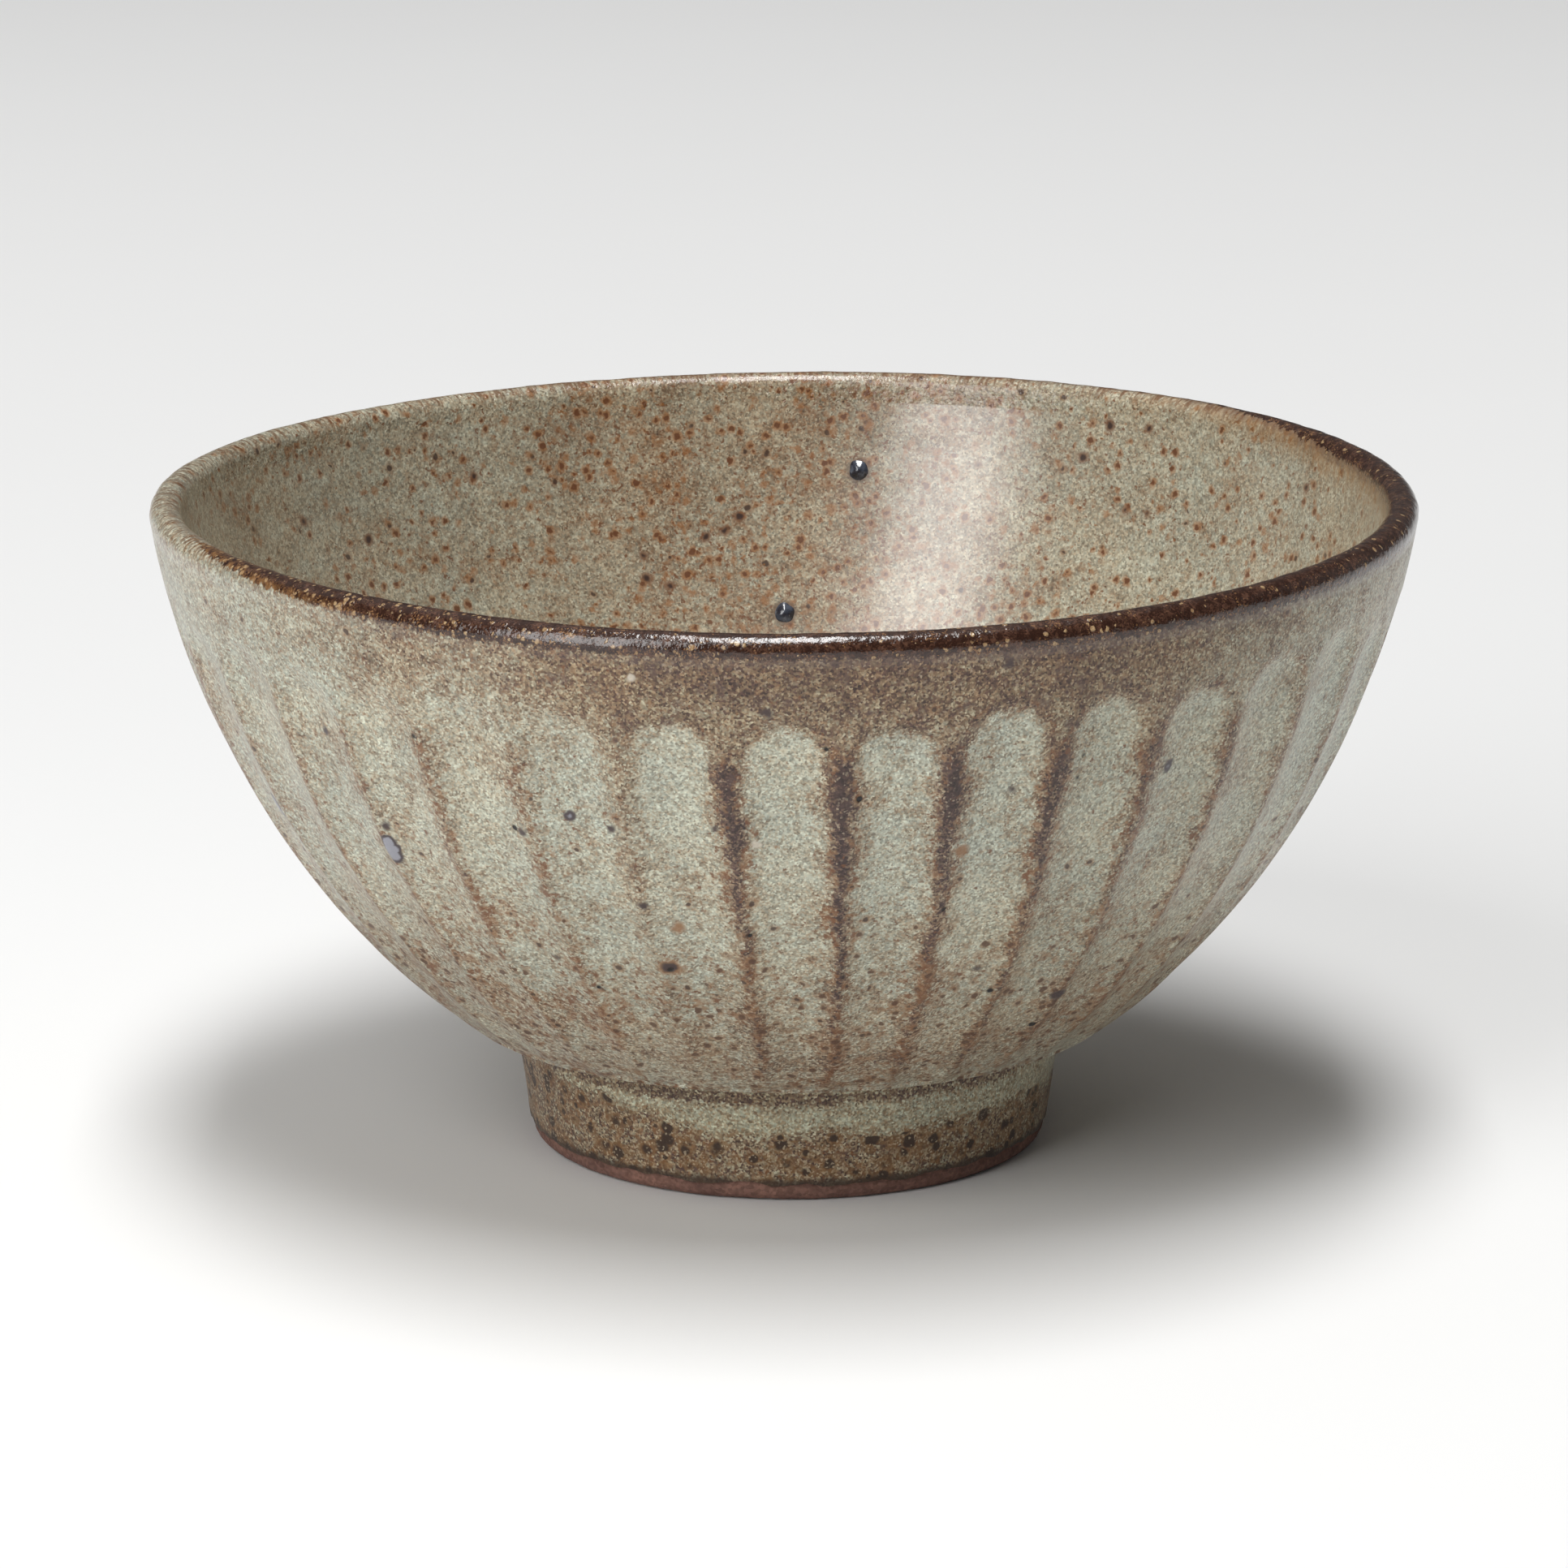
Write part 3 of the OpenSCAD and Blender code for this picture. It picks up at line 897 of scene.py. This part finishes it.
PALE_SPOTS = [(-12.9, 59, 0.45), (-2.5, 42.6, 0.5), (118, 57, 0.4)]
INSIDE_SPOTS = [
    (-130, 50.7, 0.5), (-145.5, 55, 0.4), (-120.6, 54, 0.4), (-175.1, 48.9, 0.5),
    (-173.4, 47.6, 0.4), (-171.3, 47, 0.45), (-166.7, 42.5, 0.4), (-164.1, 43.4, 0.5),
    (147, 56.1, 0.5), (144.3, 59.6, 0.5), (114.2, 57.9, 0.4), (159, 54.4, 0.25),
    (140.8, 51.6, 0.3), (137.9, 51.6, 0.3), (-164, 45.5, 0.35), (139.4, 59.8, 0.4),
    (30, 44, 0.45), (-50, 50, 0.4), (75, 38, 0.5), (-80, 42, 0.4),
]


def wall_places(marks):
    """The middle and radius of round marks on the outside, in the carved glaze."""
    return [(on_wall(az, z, sunk=CARVED_IN), r) for az, z, r in marks]


def inside_places(marks):
    return [(on_wall(az, z, True), r) for az, z, r in marks]


def blister_places():
    """Round places that cover the blisters: three in a row on a long one."""
    found = []
    for az, z, half_l, half_w, _ in BLISTERS:
        for step in (-1, 0, 1) if half_l > half_w * 1.2 else (0,):
            height = z + step * (half_l - half_w) * 0.8
            turn = az + float(slant(height)) - float(slant(z))
            middle = on_wall(turn, height, sunk=BLISTER_IN)
            found.append((middle, half_w * (1 - 0.12 * abs(step))))
    return found


# ---- glazes

def shade(colour, amount):
    """What turns the pale glaze towards a colour, as a factor for each channel."""
    return tuple((c / p) ** amount for c, p in zip(colour[:3], PALE[:3])) + (1,)


def ash_glaze(g, thin, seed, grit=0.36):
    """Ash glaze's colour, each grain's thinness and a random value: pale if thick, brown if thin."""
    u, v, w = g.grains(ASH_GRAIN)
    clumps = g.noise(0.8, 4, 0.65, seed=seed)
    uneven_grains = g.around(u, g.ease(thin, 0.25, 0.6, grit, 1.8 * grit))
    rough = g.add(thin, uneven_grains, g.around(clumps, 0.85))
    broad = g.noise(9, 2, seed=seed + 2)
    pale = g.mix(g.ease(broad, 0.35, 0.65), PALE, PALE_COOL)
    tone = g.ramp(g.times(rough, 1 / 1.2), [
        (0.04, WHITE), (0.27, shade(TAN, 0.4)), (0.46, shade(TAN, 1)),
        (0.63, shade(GREY_BROWN, 1)), (0.80, shade(DARK, 1)), (0.97, shade(DARKEST, 1)),
    ])
    colour = g.mix(1, pale, tone, "MULTIPLY")
    fine = g.noise(0.4, 3, 0.6, seed=seed + 3)
    light = g.add(1, g.around(v, 0.8), g.around(fine, 1.05))
    return g.vector("SCALE", colour, scale=light), rough, w


def rust_cover(g, colour, density, warped, seed):
    """Rust-brown stains and specks, and a few dark ones with a halo, closer where density is high."""
    stain = g.add(g.noise(1, 5, 0.72, seed=seed), g.times(density, 0.06))
    speck = g.add(g.noise(0.55, 3, 0.6, seed=seed + 1), g.times(density, 0.07))
    core, halo = g.dots(2, 0.12, 0.36, g.times(density, 0.4), g.vector("ADD", warped, (seed,) * 3))
    return g.layers(
        colour,
        (g.ease(stain, 0.58, 0.73, 0, 0.7), RUST),
        (g.ease(speck, 0.64, 0.74, 0, 0.9), DEEP_RUST),
        (g.times(halo, 0.5), RUST),
        (g.times(core, 0.85), BURNT),
    )


def wall_wear(g, flute, side, left):
    """How far the glaze ran off the land between and above the flutes, in clouds on the left."""
    fine, broad = g.noise(0.8, 4, 0.7, seed=6), g.noise(2.5, 1, seed=7)
    land = g.ease(g.add(flute, g.around(fine, 1.7), g.around(broad, 1.2)), 1.05, 0.05)
    high = g.add(g.ease(g.z, 40, 50, 0.1, 0.36), g.ease(g.z, 52.5, 59.5, 0, 0.22))
    far_right = g.ease(side, 0.42, 0.85)
    carved = g.times(land, high, g.math("SUBTRACT", 1, g.times(far_right, 0.7)))
    cloud = g.add(g.z, g.around(g.noise(6, 3, 0.6, seed=15), 26))
    washed = g.times(g.ease(cloud, 47, 61, 0, 0.34), g.ease(side, -0.9, -0.5, 0.2, 0.85))
    return g.add(g.times(carved, g.math("SUBTRACT", 1, left)), g.times(washed, left))


def wall_thinness(g, wear, ridge, side, left):
    """How thin the glaze is: worn, thinner low down and in patches, and broken on the ridges."""
    low = g.times(
        g.ease(g.z, 42, 14, 0, 0.2), g.ease(g.z, 12, 18), g.ease(side, -0.5, -0.2, 0.6, 1)
    )
    patches = g.ease(g.noise(3.4, 5, 0.68, seed=5), 0.45, 0.68, 0, 0.24)
    ragged = g.around(g.noise(0.55, 4, 0.7, seed=9), g.ease(g.z, 34, 18, 2.2, 4.2))
    broken = g.add(ridge, g.times(ragged, g.ease(ridge, 0.04, 0.4)))
    return g.add(0.13, wear, low, patches, g.times(broken, 0.72), g.times(left, 0.05))


def wall_rust(g, colour, ridge, left, warped):
    """Rust specks, closer low down and beside the ridges, where dark dots line up like beads."""
    beside = g.ease(ridge, 0.02, 0.3)
    density = g.ease(g.noise(9, 2, seed=8), 0.35, 0.65, 0.2, 1)
    density = g.times(density, g.add(g.ease(g.z, 46, 18, 0.5, 1.7), g.times(left, 0.4)))
    density = g.add(density, g.times(beside, g.ease(ridge, 1, 0.5), 1.1))
    colour = rust_cover(g, colour, density, warped, 3)
    low, groups = g.ease(g.z, 38, 17, 0, 0.85), g.ease(g.noise(4, 2, seed=18), 0.3, 0.6)
    share = g.times(low, g.add(0.8, g.times(beside, 1.2)), groups)
    core, halo = g.dots(1.05, 0.14, 0.46, share, g.vector("ADD", warped, (5, 8, 1)))
    return g.layers(colour, (g.times(halo, 0.45), RUST), (g.times(core, 0.85), LOW_DOT))


def wall_spots(g, colour, warped):
    """The spots that the photo shows one by one."""
    rust, dark, pale = [
        g.nearest(wall_places(spots), warped) for spots in (RUST_SPOTS, DARK_SPOTS, PALE_SPOTS)
    ]
    return g.layers(
        colour,
        (g.ease(rust, 0.25, -0.4, 0, 0.9), RUST),
        (g.ease(dark, 0.25, -0.25), DARK_SPOT),
        (g.ease(pale, 0.15, -0.15, 0, 0.8), PALE_SPOT),
    )


def outside_colour(g, flute, ridge):
    """The glaze of the wall, and of the outer side of the lip, so that it runs on over their joint."""
    side = g.sideways()
    left = g.ease(side, -0.12, -0.5)
    warped = g.warped(0.8, 0.7, 1.5)
    wear = wall_wear(g, flute, side, left)
    colour, thin, spare = ash_glaze(g, wall_thinness(g, wear, ridge, side, left), 1)
    colour = g.vector("MULTIPLY", colour, g.mix(g.ease(wear, 0.1, 0.5), WHITE, LAND_TINT))
    blots = g.ease(g.noise(1.4, 4, 0.65, seed=20), 0.54, 0.66, 0, 0.6)
    colour = g.mix(g.times(blots, g.ease(wear, 0.1, 0.35)), colour, BLOTCH)
    # Painted shade: the glaze is darkened on the near right, where less light falls.
    near_right_painted_shade = g.times(g.ease(side, 0.3, 0.48), g.ease(side, 0.92, 0.74))
    colour = g.mix(near_right_painted_shade, colour, RIGHT_PAINTED_SHADE, "MULTIPLY")
    colour = wall_rust(g, colour, ridge, left, warped)
    clear = g.ease(g.noise(0.9, 2, seed=16), 0.42, 0.6)
    sparkle = g.times(g.ease(spare, 0.8, 0.97), g.ease(thin, 0.5, 0.85), clear, 0.5)
    return wall_spots(g, g.mix(sparkle, colour, SPARKLE), warped), thin


def inside_colour(g):
    """The glaze of the inside, and of the inner side of the lip."""
    warped = g.warped(0.8, 0.6, 2.5)
    side = g.sideways()
    patches = g.ease(g.noise(5, 4, 0.6, seed=45), 0.4, 0.7, 0, 0.16)
    middle = g.ease(g.math("ABSOLUTE", side), 0.25, 0.65, 0.06, -0.08)
    colour, thin, _ = ash_glaze(g, g.add(patches, middle, 0.30), 41, 0.2)
    density = g.add(g.ease(g.noise(8, 2, seed=48), 0.3, 0.6, 0.3, 1.2), g.times(middle, 3))
    colour = rust_cover(g, colour, density, warped, 60)
    fleck, glow = g.dots(1.15, 0.08, 0.36, g.times(density, 0.62), g.warped(0.45, 0.7, 5.5))
    colour = g.layers(colour, (g.times(glow, 0.65), FLECK_GLOW), (g.times(fleck, 0.9), FLECK))
    runs = g.noise(0.7, 3, 0.6, at=g.vector("MULTIPLY", g.place, (1, 1, 0.2)), seed=52)
    fringe = g.ease(g.add(g.mark("iron"), g.around(runs, 5)), -3.4, 0.2)
    spots = g.nearest(inside_places(INSIDE_SPOTS), warped)
    beads = g.nearest(inside_places([bead[:3] for bead in BEADS]), g.place)
    return g.layers(
        g.vector("MULTIPLY", colour, INSIDE_TINT),
        (g.times(fringe, g.ease(side, 0.5, 0.85, 0, 0.75)), FRINGE),
        (g.ease(spots, 0.4, -0.1, 0, 0.75), DEEP_RUST),
        (g.ease(spots, 0, -0.3), BURNT),
        (g.ease(beads, 0.5, 0, 0, 0.7), BEAD_STAIN),
    ), thin


def glaze_bump(g, thin):
    peel = g.bump(g.noise(1.6, 2, 0.5, seed=12), 0.05, 0.4)
    fine = g.bump(g.noise(0.3, 2, 0.6, seed=13), 0.03, 0.5, peel)
    return g.bump(g.times(g.noise(0.22, 1, seed=14), g.ease(thin, 0.4, 0.8)), 0.06, 0.6, fine)


def lip_halo(g, colour, iron):
    """The grey-brown stain round the brown lip, strongest on the right."""
    near = g.add(iron, g.around(g.noise(0.9, 3, 0.65, seed=37), 3))
    strength = g.ease(g.sideways(), -0.3, 0.4, 0.15, 0.6)
    return g.mix(g.times(g.ease(near, -1.3, 0.3), strength), colour, LIP_STAIN)


def wall_material():
    g = Graph("ash_glaze_outside")
    colour, thin = outside_colour(g, g.mark("flute"), g.mark("ridge"))
    blister = g.nearest(blister_places(), g.warped(0.8, 0.5, 1.5))
    pits = g.nearest(wall_places(PITS), g.place)
    colour = g.layers(
        colour,
        (g.ease(blister, 0.3, 0), BLISTER_EDGE),
        (g.ease(blister, -0.06, -0.26), BLISTER_TOP),
        (g.ease(pits, 0.1, -0.06), BLACK),
    )
    colour = lip_halo(g, colour, g.mark("iron"))
    wave = g.times(g.noise(3, 1, seed=2), 1.1)
    hip = g.ease(g.math("SUBTRACT", g.z, wave), HIP_Z + 0.5, HIP_Z - 0.4)
    spots = g.ease(g.noise(1.1, 2, seed=19), 0.48, 0.64)
    colour = g.mix(g.times(hip, g.times(spots, 0.55)), colour, HIP_SPOT)
    rough = g.add(0.27, g.ease(thin, 0.3, 0.8, 0, 0.1), g.times(g.noise(0.6, 2, seed=4), 0.1))
    bump = g.bump(g.ease(pits, 0.2, -0.15, 1, 0), 0.25, 0.8, glaze_bump(g, thin))
    return g.finish(colour, rough, bump)


def burnt_iron(g, iron, edge):
    """The iron on the lip: dark, with tan specks and cream flecks, and gilt at its edge on the left."""
    side = g.sideways()
    u, v, w = g.grains(LIP_GRAIN)
    tone = g.add(g.noise(1, 4, 0.6, seed=23), g.around(u, 0.25))
    golden = g.ease(side, -0.3, -0.85, 0, 0.12)
    cluster = g.add(g.noise(1.9, 4, 0.65, seed=29), golden, g.ease(iron, 0, 1.2, 0.05, -0.04))
    share = g.times(g.ease(cluster, 0.43, 0.6, 0.05, 0.85), g.ease(side, 0.85, 0.3, 0.3, 1))
    fleck = g.dots(0.6, 0.1, 0.29, share, g.warped(0.5, 0.25, 8))[0]
    groups = g.around(g.noise(1.5, 4, 0.65, seed=30), 1.8)
    speck = g.add(v, groups, g.ease(iron, 0, 1.2, 0.12, -0.05))
    gilt = g.times(g.ease(side, -0.55, -0.85), g.ease(edge, 1.3, 0.2))
    gilt = g.times(gilt, g.ease(g.noise(0.6, 3, 0.6, seed=35), 0.4, 0.58))
    return g.layers(
        g.mix(g.ease(tone, 0.42, 0.75), LIP_DARK, LIP_LIGHT),
        (g.ease(speck, 0.9, 1.05, 0, 0.6), LIP_SPECK),
        (g.times(fleck, 0.8), g.mix(w, CREAM_DARK, CREAM_LIGHT)),
        (g.times(gilt, 0.75), LIP_GILT),
    ), fleck


def lip_material():
    g = Graph("iron_glaze")
    over, iron = g.mark("over"), g.mark("iron")
    colour = g.mix(g.ease(over, -0.7, 0.5), inside_colour(g)[0], outside_colour(g, 0, 0)[0])
    ring = g.vector("SCALE", g.outward(), scale=RIM_R)
    across = g.node("CombineXYZ", 0, 0, g.times(over, 0.16)).outputs[0]
    streak = g.noise(0.5, 3, 0.6, at=g.vector("ADD", ring, across), seed=3)
    blots = g.noise(0.7, 3, 0.65, seed=17)
    edge = g.add(iron, g.around(blots, 1.7), g.around(streak, 1.3))
    covered = g.ease(edge, -0.1, 0.2)
    crest = g.times(g.ease(g.math("ABSOLUTE", over), 2.4, 0.6), g.ease(streak, 0.47, 0.62))
    burnt, fleck = burnt_iron(g, iron, edge)
    colour = g.layers(lip_halo(g, colour, iron), (g.times(crest, 0.85), LIP_CREST), (covered, burnt))
    lumpy = g.bump(g.noise(0.9, 3, 0.55, seed=31), 0.2, 0.7)
    crust = g.bump(g.add(g.noise(0.28, 2, 0.5, seed=33), fleck), 0.05, 0.7, lumpy)
    return g.finish(colour, g.ease(covered, 0, 1, 0.28, 0.16), crust, 0.55, 0.2)


def inside_material():
    g = Graph("ash_glaze_inside")
    colour, thin = inside_colour(g)
    rough = g.add(0.25, g.times(g.noise(0.6, 2, seed=4), 0.1))
    return g.finish(colour, rough, glaze_bump(g, thin), 0.6, 1, 0.22)


def foot_material():
    """The foot's glaze: pale in the cove, thin and dotted below, with a brown band under the hip that is
    partly thin glaze and partly painted shade.
    """
    g = Graph("ash_glaze_foot")
    left = g.ease(g.sideways(), -0.25, -0.85)
    wave = g.around(g.noise(4, 3, 0.6, seed=61), 3.4)
    below = g.ease(g.add(g.z, wave, g.times(left, -2.6)), 7.7, 5.7)
    ragged = g.around(g.noise(1.3, 4, 0.65, seed=64), 1.6)
    # Painted shade, partly thin glaze: a brown band in the cove under the hip, where shade falls.
    cove_band_thin_and_shade = g.ease(g.math("ABSOLUTE", g.add(g.z, ragged, 2.2 - HIP_Z)), 1, 0.2)
    thin = g.add(0.32, g.times(below, 0.36), g.times(cove_band_thin_and_shade, 0.43))
    colour, thin, spare = ash_glaze(g, thin, 71, 0.45)
    warped = g.warped(0.8, 0.7, 4.5)
    colour = rust_cover(g, colour, g.add(g.times(below, 1.1), 0.2), warped, 80)
    core, halo = g.dots(1.6, 0.3, 0.8, g.times(below, 0.85), g.vector("ADD", warped, (7, 5, 3)))
    edge = g.add(g.z, g.times(g.noise(1.2, 2, seed=66), 0.9))
    colour = g.layers(
        colour,
        (g.times(halo, 0.6), FOOT_GLOW),
        (g.times(core, 0.92), FOOT_DOT),
        (g.times(g.ease(spare, 0.87, 0.95), below, 0.55), SPARKLE),
        (g.times(g.ease(edge, BARE_Z + 1.4, BARE_Z + 0.6), 0.85), WIPED_EDGE),
    )
    colour = g.vector("MULTIPLY", colour, FOOT_TINT)
    return g.finish(colour, g.add(0.3, g.times(below, 0.12)), glaze_bump(g, thin))


def clay_material():
    g = Graph("stoneware_clay")
    tone = g.noise(1.8, 4, 0.6, seed=91)
    colour = g.ramp(tone, [(0.25, CLAY_DARK), (0.5, CLAY), (0.75, CLAY_LIGHT)])
    colour = g.vector("SCALE", colour, scale=g.add(1, g.around(g.grains(CLAY_GRAIN)[0], 0.5)))
    halo = g.dots(5, 0.3, 0.6, 0.3, g.warped(0.8, 0.7, 6))[1]
    iron = g.dots(2.4, 0.1, 0.28, 0.5, g.vector("ADD", g.place, (3, 1, 2)))[0]
    colour = g.layers(colour, (g.times(halo, 0.5), CLAY_RUST), (g.times(iron, 0.8), CLAY_IRON))
    rough = g.ease(g.noise(0.8, 2, seed=92), 0.3, 0.7, 0.66, 0.85)
    gritty = g.bump(g.noise(0.3, 3, 0.65, seed=93), 0.08, 0.6)
    return g.finish(colour, rough, gritty, 0.35)


def bead_material():
    g = Graph("melted_iron")
    colour = g.mix(g.ease(g.noise(0.7, 3, 0.6, seed=96), 0.35, 0.65), BEAD_DARK, BEAD_BLUE)
    rough = g.ease(g.noise(0.5, 2, seed=97), 0.3, 0.7, 0.1, 0.22)
    return g.finish(colour, rough, g.bump(g.noise(0.5, 2, seed=98), 0.08, 0.4), 0.6, 0.4)


def floor_material():
    """A plain floor that is painted a little paler far away: painted light where less light reaches it.
    """
    g = Graph("pale_floor")
    # Painted light: the floor grows paler with distance, standing in for light that falls off far away.
    far = g.ease(g.vector("LENGTH", g.place), 150, 900)
    tone = g.add(far, g.around(g.noise(60, 2, seed=2), 0.1))
    return g.finish(g.mix(tone, FLOOR_NEAR, FLOOR_PAINTED_FAR), 0.7, None, 0.2)


# ---- the studio

CAMERA_ELEVATION = 14.403
CAMERA_DISTANCE = 0.66213
TARGET_Z = 0.034135
FOCAL_MM, SENSOR_MM = 158.48, 36.0
CLIP_NEAR, CLIP_FAR = 0.01, 50

# Name, azimuth, elevation, distance, width and height in metres, and power in watts
PANELS = [
    ("tall_key", -37, 31, 1.6, 0.66, 1.5, 17.5),
    ("overhead", 0, 84, 1.5, 0.35, 1.0, 19),
    ("right_fill", 115, 18, 2.2, 1.2, 1.6, 0.6),
    ("ceiling", -150, 70, 2.2, 2.6, 2.6, 5),
]
LIT_Z = 0.04
WORLD_LIGHT = 0.095
FLOOR_HALF = 6.0


def aim(obj, target):
    way = Vector(target) - obj.location
    obj.rotation_mode = "QUATERNION"
    obj.rotation_quaternion = way.to_track_quat("-Z", "Y")


def from_bowl(azimuth, elevation, distance, z=0.0):
    """The place at a distance from a point on the bowl's axis."""
    a, e = math.radians(azimuth), math.radians(elevation)
    return (
        distance * math.sin(a) * math.cos(e),
        -distance * math.cos(a) * math.cos(e),
        z + distance * math.sin(e),
    )


def make_camera():
    data = bpy.data.cameras.new("camera")
    data.lens = FOCAL_MM
    data.sensor_width = SENSOR_MM
    data.clip_start, data.clip_end = CLIP_NEAR, CLIP_FAR
    camera = bpy.data.objects.new("camera", data)
    camera.location = from_bowl(0, CAMERA_ELEVATION, CAMERA_DISTANCE, TARGET_Z)
    aim(camera, (0, 0, TARGET_Z))
    bpy.context.scene.collection.objects.link(camera)
    bpy.context.scene.camera = camera


def make_panel(name, azimuth, elevation, distance, wide, tall, power):
    """A soft panel of light that faces the bowl."""
    data = bpy.data.lights.new(name, "AREA")
    data.shape = "RECTANGLE"
    data.size, data.size_y = wide, tall
    data.energy = power
    light = bpy.data.objects.new(name, data)
    light.location = from_bowl(azimuth, elevation, distance)
    aim(light, (0, 0, LIT_Z))
    bpy.context.scene.collection.objects.link(light)


def make_lights():
    for panel in PANELS:
        make_panel(*panel)
    world = bpy.data.worlds.new("studio")
    world.use_nodes = True
    background = world.node_tree.nodes["Background"].inputs
    background["Color"].default_value = (1, 1, 1, 1)
    background["Strength"].default_value = WORLD_LIGHT
    bpy.context.scene.world = world
    bpy.context.scene.view_settings.view_transform = "Standard"


def make_floor():
    co = FLOOR_HALF * np.array([[-1, -1, 0], [1, -1, 0], [1, 1, 0], [-1, 1, 0]])
    floor = finish_mesh("floor", co, [[0, 1, 2, 3]], {})
    floor.data.materials.append(floor_material())


def main():
    make_camera()
    make_lights()
    make_floor()
    clay = clay_material()
    foot_glaze = foot_material()
    wall_back = make_wall(wall_material())
    lip_back = make_lip(lip_material())
    inside_back = make_inside(inside_material())
    skin_back = make_foot_skin(foot_glaze)
    make_foot(clay)
    make_well(foot_glaze)
    make_body(clay, wall_back, lip_back, inside_back, skin_back)
    make_beads(bead_material())


main()
